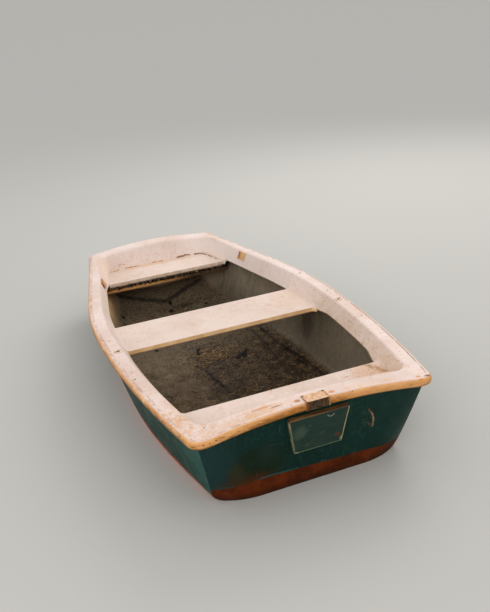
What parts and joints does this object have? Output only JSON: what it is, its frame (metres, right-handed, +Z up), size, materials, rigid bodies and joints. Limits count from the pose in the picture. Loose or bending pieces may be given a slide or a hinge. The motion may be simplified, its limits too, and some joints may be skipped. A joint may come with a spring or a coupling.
{
  "type": "rowing boat",
  "caption": "Small glass-fibre pram dinghy with a flat transom at each end, moulded seats, a rubbing strake, rowlock sockets and an outboard motor pad.",
  "frame": {"origin": "on the centreline, amidships between the two deck ends, at the waterline", "axes": "+Y towards the bow, +X to starboard, +Z up"},
  "size_m": [1.194, 2.4439, 0.4996],
  "materials": {
    "hull_gelcoat": "weathered dark teal gelcoat",
    "deck_gelcoat": "chalky cream gelcoat",
    "rubbing_strake": "sun-stained cream and tan",
    "bare_wood": "bare, wet and rotten",
    "painted_wood": "worn teal paint on wood",
    "varnished_wood": "amber varnish",
    "steel": "dull, rust-spotted",
    "socket_plastic": "faded cream"
  },
  "bodies": {
    "root": {"hull_shell": "hull_gelcoat", "deck_moulding": "deck_gelcoat", "centre_thwart": "deck_gelcoat", "stern_seat": "deck_gelcoat", "bow_seat": "deck_gelcoat", "bow_seat_beam": "bare_wood", "strake_port": "rubbing_strake", "strake_starboard": "rubbing_strake", "keel": "hull_gelcoat", "bilge_runner_port": "hull_gelcoat", "bilge_runner_starboard": "hull_gelcoat", "motor_pad": "painted_wood", "clamp_plate": "steel", "mooring_eye": "steel", "eye_backing": "steel", "bow_eye": "steel", "rowlock_socket_port": "socket_plastic", "rowlock_socket_starboard": "socket_plastic", "cheek_port": "varnished_wood", "cheek_starboard": "varnished_wood"}
  },
  "joints": []
}
